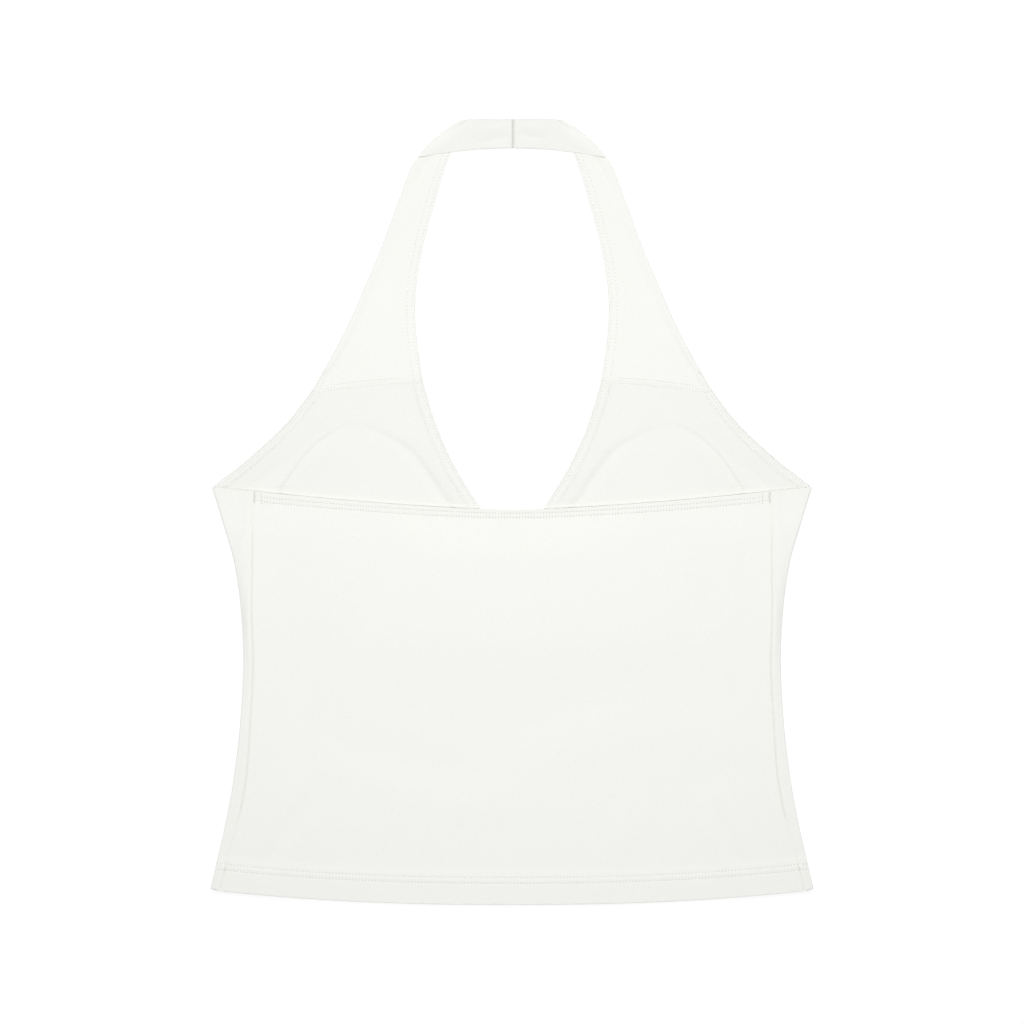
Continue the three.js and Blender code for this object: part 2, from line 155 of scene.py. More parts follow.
# How the layers settle on each other, at the back's top edge, at the sides and at the side seams.
TOP_EDGE_SETTLE = (2.0, 34.0)
BACK_RISE = Sizes(
    height=2.0, low=-190.0, high=-10.0, side=(120.0, 178.0), side_share=0.22,
    middle=0.66, middle_fade=(0.0, 72.0), edge_lower=0.2,
)
BACK_EDGE_RIDGE = Sizes(
    raised=0.6, side_raised=0.15, side=(168.0, 178.0), rise=(-0.12, 0.42), fall=(0.42, 2.7),
)
INSIDE_FOLD = Sizes(thinner=0.5, from_fold=(4.0, 14.0), ends=(-8.0, 6.0))
SIDE_ROLL = Sizes(y=-62.0, half_length=38.0, least=0.1, lift=1.0, lift_fade=(0.0, 26.0), drop=1.6)
SIDE_SEAM = Sizes(
    depth=0.85, half_width=0.85,
    softer=0.75, softer_at=(-244.0, -236.0, -214.0, -204.0),
    fainter=0.7, fainter_at=(-18.0, -9.0, 3.0, 8.0),
    hem_fainter=0.5, hem_fade=(-246.0, -250.0),
)
STRIP_RIDGE = Sizes(height=0.5, at=1.2, near=0.8, far=4.2)
CROSS_SEAM = Sizes(rise=1.6, fade=(0.0, 22.0))
FOLD_FLAT = 0.3
FOLD_MEETS = Sizes(start=0.3, power=1.7)
HEM_CORNER = 2.2

# Turned edges and their sewing. A stitch row's place is its distance from the edge.
HEM_TURNED = 0.2
HEM_DEPTH = (18.2, 26.0)
HEM_ROWS = (14.6, 18.5)
HEM_ROWS_Y = -250.0
HEM_RIDGE = Sizes(height=0.10, half_width=1.3)
HEM_SUNK = 0.2
BACK_ROWS = (2.3, 5.5)
BACK_ROWS_LOWER_AT_SIDE = 1.2
BACK_ROWS_END = 170.8
NECK_ROWS = (1.8, 5.9)
ARM_ROWS = (1.7, 4.9)
ARM_ROWS_END = 95.0
ARM_ROWS_FADE = (ARM_ROWS_END - 2, ARM_ROWS_END + 2)
STRAP_SEAM_ROWS = 1.75
NECK_EDGE = columns("distance height", [
    (0, 0.18), (1.8, 0), (3.2, 0.12), (4.9, 0.64), (5.9, 0.55), (8.0, 0.20), (14.0, 0), (17.0, 0),
])
STRAP_NECK_EDGE = columns("distance height", [
    (0, -0.42), (1.2, -0.20), (2.8, -0.02), (4.9, 0.20), (6.0, 0.17), (9.0, 0.04), (14.0, 0), (17.0, 0),
])
ARM_EDGE = columns("distance height", [
    (0, 0.05), (1.6, 0), (2.6, 0.12), (4.1, 0.66), (5.0, 0.54), (7.0, 0.20), (15.0, 0), (18.0, 0),
])
BACK_EDGE = columns("distance height", [
    (0, 0.36), (2.3, 0.20), (5.5, -0.12), (8.0, -0.16), (14.0, -0.04), (18.0, 0),
])
GROOVE = Sizes(depth=0.15, half_width=0.55)
STITCH = Sizes(length=1.45, half_width=0.23, height=0.17, wander=0.035, sizes=(0.9, 1.08))
PITCH = 2.05
HEM_PITCH = 2.25
STRAP_NECK_PITCH = 2.5
# Sizes of the dark beads painted as the shade inside needle holes.
HOLE = Sizes(half_length=0.3, half_width=0.26, height=0.05)

# Creases and ripples. They fade out over these distances from an edge or a seam.
CREASE = Sizes(bend=0.0016, fade=(0.35, 1.15), share_below=0.6, least_cloth=0.8)
RIPPLE = Sizes(height=0.05, back=21.0, lining=17.0, strap=13.0)
SOFT_FROM = dict(
    back_top=(1.5, 9.0), back_top_below=(4.0, 12.0), hem=(6.0, 22.0), side_seam=(0.0, 3.0),
    neckline=(5.0, 9.0), armhole=(4.0, 8.0), strap_outer=(0.0, 4.0), strap_seam=(0.0, 5.0),
)


def smooth(start, end, at):
    t = np.clip((at - start) / (end - start), 0, 1)
    return t * t * (3 - 2 * t)


def stretch(y, start, full, full_end, end):
    """1 over a stretch of heights, fading to 0 at both of its ends."""
    return smooth(start, full, y) * smooth(end, full_end, y)


def mix(a, b, t):
    return a + (b - a) * t


def bowed(t):
    return 4 * t * (1 - t)


def between_neighbours(values):
    padded = np.pad(values, 1, "edge")
    return padded[2:] - padded[:-2]


def curve(table, column, at, by="y"):
    """The smooth curve through one column of a table, read at values of another column."""
    xs, ys = table[by], table[column]
    slopes = between_neighbours(ys) / between_neighbours(xs)
    at = np.clip(at, xs[0], xs[-1])
    i = np.clip(np.searchsorted(xs, at, side="right") - 1, 0, len(xs) - 2)
    span = xs[i + 1] - xs[i]
    t = (at - xs[i]) / span
    bend = slopes[i] * (1 - t) - slopes[i + 1] * t
    return mix(ys[i], ys[i + 1], smooth(0, 1, t)) + span * t * (1 - t) * bend


def side_fold(y):
    return curve(SIDE, "fold", y)


def side_seam(y):
    return curve(SIDE, "seam", y)


def neckline(y):
    return np.where(np.asarray(y) <= NECK_POINT_Y, 0.0, curve(NECKLINE, "half", y))


def armhole(y):
    return curve(ARMHOLE, "half", y)


def slope(half, y, step=0.5):
    """How fast an edge runs outwards with height."""
    return (half(y + step) - half(y - step)) / (2 * step)


def hem_line(x):
    return -HALF_LENGTH + HEM_RISE * (np.abs(x) / HALF_WIDTH) ** HEM_CURVE


def back_top(x):
    return BACK_TOP_Y + BACK_TOP_RISE * (np.abs(x) / side_seam(UNDERARM_Y)) ** BACK_TOP_CURVE


def strap_seam_y(x):
    """The seam between bust and strap."""
    t = np.clip((np.abs(x) - STRAP["inner_x"][0]) / (STRAP["outer_x"][0] - STRAP["inner_x"][0]), 0, 1)
    return mix(STRAP["inner_y"][0], STRAP["outer_y"][0], t) - SEAM_GAP / 2 + STRAP_SEAM_BOW * bowed(t)


# Relief

def bump(distance, half_width):
    """1 on a line and 0 from about two half widths away."""
    return np.exp(-((distance / half_width) ** 2))


def sewn_edge(profile, rows, distance):
    """The relief of a turned and sewn edge: its profile, with a groove along each row."""
    height = curve(profile, "height", distance, "distance")
    for row in rows:
        height = height - GROOVE.depth * bump(distance - row, GROOVE.half_width)
    return height


def both_sides(rows):
    """Creases, each with its mirror image on the garment's other half."""
    return [crease for x, *rest in rows for crease in ((x, *rest), (-x, rest[0], 180 - rest[1], *rest[2:]))]


# Soft creases, left by folding and handling. Each has its middle's x and y, its angle from +X in degrees,
# its length, its half width and its height.
BACK_CREASES = [
    (-55, -18, 97, 44, 3.6, -0.30),
    (-46, -22, 93, 40, 4.2, 0.26),
    (-34, -14, 88, 30, 4.5, -0.16),
    (57, -16, 84, 46, 3.8, -0.28),
    (47, -20, 88, 42, 4.6, 0.24),
    (70, -24, 80, 36, 5.0, -0.16),
    (-96, -62, 62, 120, 11, -0.42),
    (-120, -50, 70, 110, 13, 0.40),
    (30, -132, 24, 190, 15, -0.50),
    (48, -158, 17, 210, 17, 0.46),
    (-70, -172, -14, 170, 14, -0.40),
    (-40, -196, -8, 190, 13, 0.34),
    (118, -196, 38, 120, 12, -0.42),
    (96, -210, 30, 110, 11, 0.36),
    (-140, -128, 83, 130, 9, -0.42),
    (-157, -224, 64, 62, 5.5, -0.55),
    (-147, -226, 60, 54, 5.0, 0.34),
    (146, -222, 112, 60, 5.5, -0.50),
    (137, -228, 118, 48, 5.0, 0.30),
    (132, -96, 96, 150, 10, -0.38),
    (150, -60, 88, 120, 9, 0.30),
    *both_sides([
        (-168, 1, 47, 12, 1.3, -0.40),
        (-164, 0, 52, 14, 1.5, 0.32),
        (-166, -6, 30, 15, 1.5, -0.26),
    ]),
]
LINING_CREASES = [
    *both_sides([
        (-152, 36, 41, 96, 5.0, -0.75),
        (-139, 30, 44, 70, 6.0, 0.30),
        (-66, 72, 104, 40, 5.0, -0.25),
    ]),
    (-84, 62, 100, 48, 7.0, 0.22),
    (86, 60, 78, 48, 7.0, 0.22),
    (-112, 70, 68, 34, 4.0, -0.22),
    (110, 72, 110, 34, 4.0, -0.22),
]
STRIP_CREASES = both_sides([
    (-187, 3, 78, 26, 4.0, -0.35),
    (-183, -18, 74, 40, 3.2, 0.30),
    (-181, -52, 82, 34, 2.2, -0.30),
])
STRAP_CREASES = both_sides([
    (-61, 232.5, 62, 32, 2.4, -0.8),
    (-66, 218, 70, 46, 4.0, 0.30),
    (-84, 168, 68, 70, 5.0, -0.28),
    (-96, 128, 66, 54, 7.0, 0.30),
])
BAND_CREASES = [
    (-12, 254, 8, 26, 2.4, -0.35),
    (13, 256, -10, 24, 2.2, -0.30),
    (-14, 261, 4, 30, 2.8, 0.25),
    (16, 262, -6, 26, 2.6, 0.25),
    *both_sides([(-47, 250, 40, 14, 2.0, 0.14)]),
]


def creases(rows, x, y):
    """The height that creases add at a place."""
    total = np.zeros(np.broadcast(x, y).shape)
    for middle_x, middle_y, degrees, length, half_width, height in rows:
        angle = math.radians(degrees)
        dx, dy = x - middle_x, y - middle_y
        along = dx * math.cos(angle) + dy * math.sin(angle)
        across = dy * math.cos(angle) - dx * math.sin(angle)
        bend = CREASE.bend * along**2 * math.copysign(1, middle_x)
        fade = 1 - smooth(*CREASE.fade, np.abs(along) / (length / 2))
        total = total + height * bump(across + bend, half_width) * fade
    return total


def soft_relief(rows, x, y, size, **distances):
    """Creases and a faint, uneven ripple of a given size, which fade out at edges and seams."""
    a = np.sin(x / size + 1.3 * np.sin(y / size * 0.61 + 0.7))
    b = np.sin(y / size * 0.83 + 1.1 * np.sin(x / size * 0.47 + 2.1))
    total = creases(rows, x, y) + RIPPLE.height * a * b
    for name, distance in distances.items():
        total = total * smooth(*SOFT_FROM[name], distance)
    return total


# Layers

def cup_raised(x, y):
    """A low dome inside a soft trough that is steep on its outer side, and a slight swell beyond."""
    across = (np.abs(x) - CUP.x) / CUP.half_width
    up = (y - CUP.y) / np.where(y > CUP.y, CUP.above, CUP.below)
    angle = np.degrees(np.arctan2(up, across))
    radius = np.hypot(across, up) / curve(CUP_RIM, "radius", angle, "angle")
    beyond = (radius - 1) * CUP.half_width
    outside = curve(CUP_RIM, "outside", angle, "angle")
    trough = bump(beyond, np.where(beyond > 0, outside, CUP_TROUGH.inside))
    swell = CUP_TROUGH.swell * bump(beyond - CUP_TROUGH.swell_at, CUP_TROUGH.swell_width)
    depth = curve(CUP_RIM, "trough", angle, "angle")
    return CUP.dome * (1 - smooth(*CUP_DOME, radius)) + depth * (swell - trough)


def back_rise(x, y):
    """The back rises over the cups, less between them and at the sides. Its top edge lies on them."""
    upwards = smooth(BACK_RISE.low, BACK_RISE.high, y)
    sideways = 1 - (1 - BACK_RISE.side_share) * smooth(*BACK_RISE.side, np.abs(x))
    middle = mix(BACK_RISE.middle, 1, smooth(*BACK_RISE.middle_fade, np.abs(x)))
    broad = BACK_RISE.height * upwards * sideways * middle
    on_cups = np.maximum(cup_raised(x, y), 0) - BACK_RISE.edge_lower
    return mix(on_cups, broad, smooth(*TOP_EDGE_SETTLE, back_top(x) - y))


def hem_turned(x, y):
    """The hem is thicker as far up as its cloth is turned."""
    return HEM_TURNED * (1 - smooth(*HEM_DEPTH, y - hem_line(x)))


def side_roll(y):
    """How far the sides roll outwards, which is most at the waist."""
    return SIDE_ROLL.least + (1 - SIDE_ROLL.least) * bump(y - SIDE_ROLL.y, SIDE_ROLL.half_length)


def seam_lift(x, y):
    """Both sides of the side seam stand up a little, where the wrapped side rolls outwards."""
    from_seam = side_seam(y) - np.abs(x)
    across = np.where(from_seam > 0, 1 - smooth(*SIDE_ROLL.lift_fade, from_seam), 1)
    return SIDE_ROLL.lift * side_roll(y) * across


def upper_under(x, y):
    """The underside of the upper layer: the back panel and the wrapped sides."""
    beside = smooth(side_seam(y) - SETTLE, side_seam(y), np.abs(x))
    lining = smooth(UNDERBUST_Y - LINING_STEP[0], UNDERBUST_Y - LINING_STEP[1], y)
    at_side = (UPPER_AT_SIDE - UPPER_REST) * beside * (1 - lining)
    over_lining = (UPPER_OVER_LINING - UPPER_REST) * lining
    return UPPER_REST + at_side + over_lining + back_rise(x, y) + seam_lift(x, y) + hem_turned(x, y)


def hem_grooves(distance):
    return sum(bump(distance - row, GROOVE.half_width) for row in HEM_ROWS)


def upper_face(x, y):
    """The outside of the upper layer, with the hem's sewing and without seams or creases."""
    distance = y - hem_line(x)
    between = HEM_RIDGE.height * bump(distance - sum(HEM_ROWS) / 2, HEM_RIDGE.half_width)
    sewing = between - GROOVE.depth * hem_grooves(distance)
    return upper_under(x, y) + CLOTH + hem_turned(x, y) + sewing


def back_row_shift(x):
    """How much lower the back's stitch rows run towards the sides."""
    return BACK_ROWS_LOWER_AT_SIDE * np.abs(x) / side_seam(UNDERARM_Y)


def seam_crispness(y):
    """The side seam lies softer just above the hem's sewing."""
    return 1 - SIDE_SEAM.softer * stretch(y, *SIDE_SEAM.softer_at)


def back_top_face(x, y):
    from_seam = side_seam(y) - np.abs(x)
    from_top = back_top(x) - y - back_row_shift(x)
    fainter = SIDE_SEAM.fainter * stretch(y, *SIDE_SEAM.fainter_at)
    fainter = fainter + SIDE_SEAM.hem_fainter * smooth(*SIDE_SEAM.hem_fade, y)
    seam = SIDE_SEAM.depth * bump(from_seam, SIDE_SEAM.half_width) * seam_crispness(y) * (1 - fainter)
    soft = soft_relief(BACK_CREASES, x, y, RIPPLE.back, back_top=from_top, hem=y - hem_line(x))
    return upper_face(x, y) + sewn_edge(BACK_EDGE, BACK_ROWS, from_top) - seam + soft


def strip_top_face(x, y):
    """The outside of the wrapped side, between its fold and the side seam."""
    from_seam = np.abs(x) - side_seam(y)
    from_ridge = from_seam - STRIP_RIDGE.at
    ridge = bump(from_ridge, np.where(from_ridge < 0, STRIP_RIDGE.near, STRIP_RIDGE.far))
    ridge = STRIP_RIDGE.height * ridge * seam_crispness(y)
    soft = creases(STRIP_CREASES, x, y) * smooth(*SOFT_FROM["side_seam"], from_seam)
    return upper_face(x, y) + ridge + soft


def lining_edges(x, y):
    """Distances from the lining's neckline and armhole, which are far where it has no such edge."""
    far = 99.0
    from_neck = (np.abs(x) - neckline(y)) / np.hypot(1, slope(neckline, y))
    from_arm = (armhole(y) - np.abs(x)) / np.hypot(1, slope(armhole, y))
    return np.where(y > NECK_POINT_Y, from_neck, far), np.where(y > UNDERARM_Y, from_arm, far)


def back_edge_ridge(x, y):
    """Where the lining bears against the back's top edge it rises a little."""
    above = y - back_top(x)
    at_side = smooth(*BACK_EDGE_RIDGE.side, np.abs(x))
    raised = mix(BACK_EDGE_RIDGE.raised, BACK_EDGE_RIDGE.side_raised, at_side)
    return raised * smooth(*BACK_EDGE_RIDGE.rise, above) * (1 - smooth(*BACK_EDGE_RIDGE.fall, above))


def inside_fold(x, y):
    """The lining is thinner where it lies inside the rolled side."""
    near_fold = 1 - smooth(*INSIDE_FOLD.from_fold, side_fold(y) - np.abs(x))
    return INSIDE_FOLD.thinner * near_fold * (1 - smooth(*INSIDE_FOLD.ends, y))


def lining_top_face(x, y):
    from_neck, from_arm = lining_edges(x, y)
    top = (
        CLOTH + GAP + CLOTH
        + LINING_LIFT * smooth(*TOP_EDGE_SETTLE, y - back_top(x))
        + cup_raised(x, y)
        + sewn_edge(NECK_EDGE, NECK_ROWS, from_neck)
        + sewn_edge(ARM_EDGE, ARM_ROWS, from_arm)
        + back_edge_ridge(x, y)
        + soft_relief(
            LINING_CREASES, x, y, RIPPLE.lining,
            neckline=from_neck, armhole=from_arm, strap_seam=np.abs(y - strap_seam_y(x)),
        )
        - inside_fold(x, y)
    )
    return np.maximum(top, LINING_UNDER + LINING_LEAST)


# Meshes

CREASE_ANGLE = math.radians(50)
RIM_STEPS = 5
ROUND = 0.45


def mesh_piece(name, points, faces, material, creased=False):
    """A smooth shaded object from points in millimetres. Its square edges stay sharp if it is creased."""
    mesh = bpy.data.meshes.new(name)
    mesh.from_pydata((np.asarray(points) * MM).tolist(), [], np.asarray(faces).tolist())
    mesh.polygons.foreach_set("use_smooth", np.ones(len(mesh.polygons), bool))
    mesh.validate()
    mesh.update()
    if creased:
        mesh.set_sharp_from_angle(angle=CREASE_ANGLE)
    piece = bpy.data.objects.new(name, mesh)
    bpy.context.scene.collection.objects.link(piece)
    mesh.materials.append(material)
    return piece


def joined(patches):
    """The patches' outside points and inside points, each place once, and the faces between them."""
    outsides = np.concatenate([outer.reshape(-1, 3) for outer, _ in patches])
    insides = np.concatenate([inner.reshape(-1, 3) for _, inner in patches])
    keys = np.round(np.hstack([outsides, insides]), 3) + 0.0
    _, first, ids = np.unique(keys, axis=0, return_index=True, return_inverse=True)
    ids = ids.reshape(-1)
    quads, start = [], 0
    for grid, _ in patches:
        rows, cols = grid.shape[:2]
        at = ids[start:start + rows * cols].reshape(rows, cols)
        start += rows * cols
        quads.append(np.stack([at[:-1, :-1], at[:-1, 1:], at[1:, 1:], at[1:, :-1]], -1).reshape(-1, 4))
    return outsides[first], insides[first], np.concatenate(quads)


def free_edges(quads, count):
    """The edges that only one face has."""
    edges = np.concatenate([quads[:, [k, (k + 1) % 4]] for k in range(4)])
    return edges[~np.isin(edges[:, 0] * count + edges[:, 1], edges[:, 1] * count + edges[:, 0])]


def cloth(name, patches, material, rounding):
    """One closed shell of patches, which join where their points agree.

    A patch is two grids of points, on its outside and its inside. A free edge is rounded as a fold is, and
    rounding gives how round it is at points on it, from 0 at a seam.
    """
    outer, inner, quads = joined(patches)
    count = len(outer)
    edges = free_edges(quads, count)
    middle = (outer + inner) / 2
    radius = np.linalg.norm(outer - inner, axis=1) / 2
    facing = (outer - inner) / (2 * radius[:, None])
    outward = np.zeros_like(outer)
    along = unit(middle[edges[:, 1]] - middle[edges[:, 0]])
    for end in (0, 1):
        np.add.at(outward, edges[:, end], np.cross(along, facing[edges[:, end]]))
    rim = np.unique(edges)
    inset = unit(outward[rim]) * (radius[rim] * rounding(middle[rim]))[:, None]
    outer[rim] -= inset
    inner[rim] -= inset

    points, rings = [outer, inner], [np.arange(count)]
    half, centre = (outer[rim] - inner[rim]) / 2, (outer[rim] + inner[rim]) / 2
    for k in range(1, RIM_STEPS):
        angle = math.pi * k / RIM_STEPS
        place = np.full(count, -1)
        place[rim] = 2 * count + (k - 1) * len(rim) + np.arange(len(rim))
        rings.append(place)
        points.append(centre + half * math.cos(angle) + inset * math.sin(angle))
    rings.append(np.arange(count) + count)

    faces = [quads, quads[:, ::-1] + count]
    a, b = edges[:, 0], edges[:, 1]
    for near, far in zip(rings[:-1], rings[1:]):
        faces.append(np.stack([near[b], near[a], far[a], far[b]], -1))
    return mesh_piece(name, np.concatenate(points), np.concatenate(faces), material, creased=True)


def grid_xyz(x, y, z):
    return np.stack(np.broadcast_arrays(x, y, z), -1).astype(float)


def facing_out(outer, inner, turn):
    """A patch's two grids, turned round where its faces would look inwards."""
    return (outer[:, ::-1], inner[:, ::-1]) if turn else (outer, inner)


def near_rows(rows, reach=1.2, step=0.4):
    """Places close together across each stitch row."""
    found = []
    for row in rows:
        found += list(np.arange(row - reach, row + reach + step / 2, step))
    return found


def merged(places, least=0.3):
    """Sorted places, without any that nearly repeat."""
    kept = []
    for place in sorted(places):
        if not kept or place - kept[-1] >= least:
            kept.append(place)
    return np.array(kept)


# Where the meshes have their rows and columns: close together at edges and sewing, and wider between.
FINE = 2.4
HEM_BLOCK = 24.0
TOP_BLOCK = 12.0
HEM_OFFSETS = merged([0, 0.7, 1.6, 3, 5, 7.5, 10, 12, *near_rows(HEM_ROWS), 21, 22.5, HEM_BLOCK])
TOP_OFFSETS = merged([0, 0.6, *near_rows(BACK_ROWS), 7.6, 9, 10.4, TOP_BLOCK])
HEM_ROUNDS = 4
BESIDE_SEAM = (0, 0.3, 0.6, 0.9, 1.3, 1.8, 2.4, 3.2, 4.4, 6, 8)
STRIP_SHARES = np.array([[0, 0.35, 0.7, 1.1, 1.6, 2.2, 3]]) / 30
STRIP_SHARES = np.unique(np.append(STRIP_SHARES, np.linspace(0.1, 1, 13)))[None, :]
FOLD_STEPS = 12
FLOOR_STEPS = 26
SEAM_REACH = (0.3, 2.5)
BACK_SEAM_REACH = (0.2, 2.5)
BACK_TOP_ROUND = Sizes(share=0.5, reach=(1.0, 3.0))


def rounded(distance, reach=SEAM_REACH):
    """How round an edge is: square at a seam, and round from some distance away."""
    return ROUND * smooth(*reach, distance)


def top_shifted(x, offset):
    """Distance below the back's top edge, where the stitch rows run lower towards the sides."""
    return offset + back_row_shift(x) * np.minimum(offset / BACK_ROWS[0], 1)


def rows_up(low, high, distance):
    """Rows above the low one and up to the high one, for a distance that lies between them."""
    return mix(low, high, np.linspace(0, 1, math.ceil(distance / FINE) + 1)[1:, None])


def body_rows(share, half_width, top):
    """Heights from the hem up to a top line, as rows, at shares of the width that half_width gives."""
    low = -HALF_LENGTH + HEM_OFFSETS[:, None] + 0 * share[None, :]
    for _ in range(HEM_ROUNDS):
        low = hem_line(share[None, :] * half_width(low)) + HEM_OFFSETS[:, None]
    return np.concatenate([low, rows_up(low[-1:], top, UNDERBUST_Y + HALF_LENGTH - HEM_BLOCK)])


def back_panel(material):
    half = side_seam(0)
    inwards = merged([*BESIDE_SEAM[:-1], *np.arange(BESIDE_SEAM[-1], half + 4, FINE)])
    share = np.clip(inwards / half, 0, 1)
    share = np.unique(np.concatenate([share - 1, 1 - share]))
    nominal = share * half
    floor = body_rows(share, side_seam, UNDERBUST_Y)
    upper = back_top(nominal) - top_shifted(nominal, TOP_OFFSETS[::-1, None])
    middle = rows_up(floor[-1:], upper[:1], BACK_TOP_Y - TOP_BLOCK - UNDERBUST_Y)
    y = np.concatenate([floor, middle, upper[1:]])
    x = share[None, :] * (side_seam(y) - SEAM_GAP / 2)
    top = back_top_face(x, y)
    creased = creases(BACK_CREASES, x, y) * smooth(*SOFT_FROM["back_top_below"], back_top(x) - y)
    under = upper_under(x, y) + CREASE.share_below * creased
    under = np.minimum(under, top - CREASE.least_cloth * CLOTH)

    def rounding(points):
        x, y = points[:, 0], points[:, 1]
        at_top = mix(BACK_TOP_ROUND.share, 1, smooth(*BACK_TOP_ROUND.reach, back_top(x) - y))
        return rounded(side_seam(y) - SEAM_GAP / 2 - np.abs(x), BACK_SEAM_REACH) * at_top

    return cloth("back_panel", [(grid_xyz(x, y, top), grid_xyz(x, y, under))], material, rounding)


# The wrapped sides

def fold_radius(half, y, thick):
    """Half the height of a side's fold, over all of its layers."""
    return (upper_under(half, y) - SIDE_ROLL.drop * side_roll(y) + thick) / 2


def cross_seam_rise(y):
    """The underbust seam rises a little on its way from the fold to the side seam."""
    return CROSS_SEAM.rise * (1 - smooth(*CROSS_SEAM.fade, np.abs(y - UNDERBUST_Y)))


def wrapped_side(side, y_fold, y_seam):
    """One wrapped side, from its seam over the strip and round the fold, and the place of the fold's middle.

    Each row has its own height at the fold and at the seam.
    """
    from_hem = np.clip((y_fold - y_fold[0]) / HEM_CORNER, 0, 1) if y_fold[0] < UNDERBUST_Y else 1
    half = side_fold(y_fold) - HEM_CORNER * (1 - np.sqrt(1 - (1 - from_hem) ** 2))
    thick = CLOTH + hem_turned(half, y_fold)
    radius = fold_radius(half, y_fold, thick)
    middle = half - radius * FOLD_FLAT
    seam = side_seam(y_seam) + SEAM_GAP / 2
    x = mix(seam[:, None], middle[:, None], STRIP_SHARES)
    y = mix(y_seam[:, None], y_fold[:, None], STRIP_SHARES)
    start = FOLD_MEETS.start
    meets = np.clip((STRIP_SHARES - start) / (1 - start), 0, 1) ** FOLD_MEETS.power
    top = mix(strip_top_face(side * x, y), 2 * radius[:, None], meets)
    under = mix(upper_under(x, y), (2 * radius - thick)[:, None], meets)
    angle = np.linspace(math.pi, 0, FOLD_STEPS + 1)[None, 1:]

    def with_fold(z, r):
        round_x = middle[:, None] + FOLD_FLAT * r[:, None] * np.sin(angle)
        round_z = radius[:, None] - r[:, None] * np.cos(angle)
        fold = grid_xyz(side * round_x, y_fold[:, None], round_z)
        return np.concatenate([grid_xyz(side * x, y, z), fold], 1)

    return facing_out(with_fold(top, radius), with_fold(under, radius - thick), side < 0), middle


def under_patch(side, wrapped, outer, inner):
    """The flat layer below one wrapped side. It starts where that side ends."""
    end = -1 if side > 0 else 0
    for flat, above in zip((outer, inner), wrapped):
        flat[:len(above), 0] = above[:, end]
    return facing_out(outer, inner, side < 0)


def lower_front(material):
    """The front below the bust. Its outside lies on the surface, and its sewing is sunk into it."""
    top = UNDERBUST_Y - SEAM_GAP / 2
    y_fold, y_seam = (body_rows(np.ones(1), line, top)[:, 0] for line in (side_fold, side_seam))
    share = np.linspace(1, 0, FLOOR_STEPS + 1)
    y = body_rows(share, side_fold, top)
    patches = []
    for side in SIDES:
        wrapped, middle = wrapped_side(side, y_fold, y_seam + cross_seam_rise(y_fold))
        x = side * share[None, :] * middle[:, None]
        outer = grid_xyz(x, y, HEM_SUNK * hem_grooves(y - hem_line(x)))
        inner = grid_xyz(x, y, CLOTH + hem_turned(x, y))
        patches += [wrapped, under_patch(side, wrapped, outer, inner)]
    return cloth("front_lower", patches, material, square_at_seams)


# The bust. Its rows below the underarm are wrapped at the sides, and the rows above it are free.
BUST_TOP = Sizes(inner=90.0, outer=82.6)
NECK_V_TOP = -12.0
BACK_EDGE_LOW = BACK_TOP_Y - 0.6
WRAPPED_Y = merged([
    UNDERBUST_Y + SEAM_GAP / 2,
    *np.arange(UNDERBUST_Y + 2, NECK_POINT_Y - 0.8, FINE),
    NECK_POINT_Y,
    *np.arange(NECK_POINT_Y + 0.7, NECK_V_TOP, 0.7),
    *np.arange(NECK_V_TOP, BACK_EDGE_LOW, 1.7),
    *np.arange(BACK_EDGE_LOW, UNDERARM_Y - 0.2, 0.4),
    UNDERARM_Y,
])
FREE_SHARE = np.linspace(0, 1, 64)[1:]
FREE_ARM_Y = mix(UNDERARM_Y, BUST_TOP.outer, FREE_SHARE)
ARM_Y = np.concatenate([WRAPPED_Y, FREE_ARM_Y])
NECK_Y = np.concatenate([WRAPPED_Y, mix(UNDERARM_Y, BUST_TOP.inner, FREE_SHARE)])
FROM_NECK = merged([0, 0.6, *near_rows(NECK_ROWS), 7.6, 9.5, 12], 0.35)
FROM_ARM = merged([0, 0.6, *near_rows(ARM_ROWS), 6.5, 8.2, 10, 12], 0.35)
LINING_BETWEEN = np.linspace(0, 1, 118)[None, 1:-1]
STEEPEST = 2.0


def bust_grid(share, inset, wrapped_end):
    """Places over half of the bust, from the armhole, at 0, to the neckline, at 1, and the rows' widths.

    Each wrapped row starts at its wrapped_end, beside the fold.
    """
    bow = np.concatenate([np.zeros(len(WRAPPED_Y)), smooth(0.5, 1, FREE_SHARE)])
    from_x = np.concatenate([wrapped_end, armhole(FREE_ARM_Y) - inset])
    to_x = neckline(NECK_Y) + np.where(NECK_Y > NECK_POINT_Y, inset, 0)
    x = mix(from_x[:, None], to_x[:, None], share)
    y = mix(ARM_Y[:, None], NECK_Y[:, None], share)
    to_seam = strap_seam_y(x[-1]) - SEAM_GAP / 2 - y[-1]
    return x, y + bow[:, None] * to_seam[None, :], (from_x - to_x)[:, None]


def front_bust(material):
    low = WRAPPED_Y[0]
    y_seam = mix(low, SIDE_TOP, (WRAPPED_Y - low) / (UNDERARM_Y - low)) + cross_seam_rise(WRAPPED_Y)
    patches = []
    for side in SIDES:
        wrapped, middle = wrapped_side(side, WRAPPED_Y, y_seam)
        x, y, _ = bust_grid(np.linspace(0, 1, FLOOR_STEPS + 1)[None, :], 0, middle)
        outer, inner = grid_xyz(side * x, y, 0), grid_xyz(side * x, y, CLOTH)
        patches += [wrapped, under_patch(side, wrapped, outer, inner)]
    return cloth("front_bust_shell", patches, material, square_at_seams)


